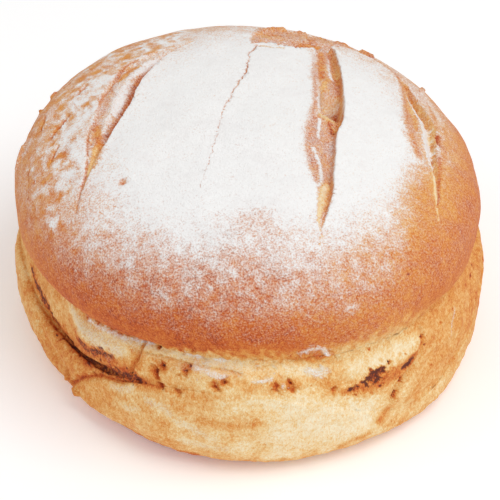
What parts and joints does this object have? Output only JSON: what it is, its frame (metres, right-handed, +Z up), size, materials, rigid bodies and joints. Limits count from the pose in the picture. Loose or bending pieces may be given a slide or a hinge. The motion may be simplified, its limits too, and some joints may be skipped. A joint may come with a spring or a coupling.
{
  "type": "potato bread loaf",
  "caption": "Round potato bread loaf: a floured, slashed dome overhanging a side that burst open into a pale torn strip, above a rolled golden skirt and a flat base.",
  "frame": {"origin": "on the surface the loaf stands on, under the middle of its bounding box", "axes": "+Z up through the crown, -Y towards the burst front, +X to the right seen from the front"},
  "size_m": [0.2448, 0.2448, 0.1356],
  "materials": {
    "crust": "baked bread crust, golden to red-brown, dusted with white flour, with pale torn crumb where it burst"
  },
  "bodies": {
    "root": {"loaf": "crust"}
  },
  "joints": []
}
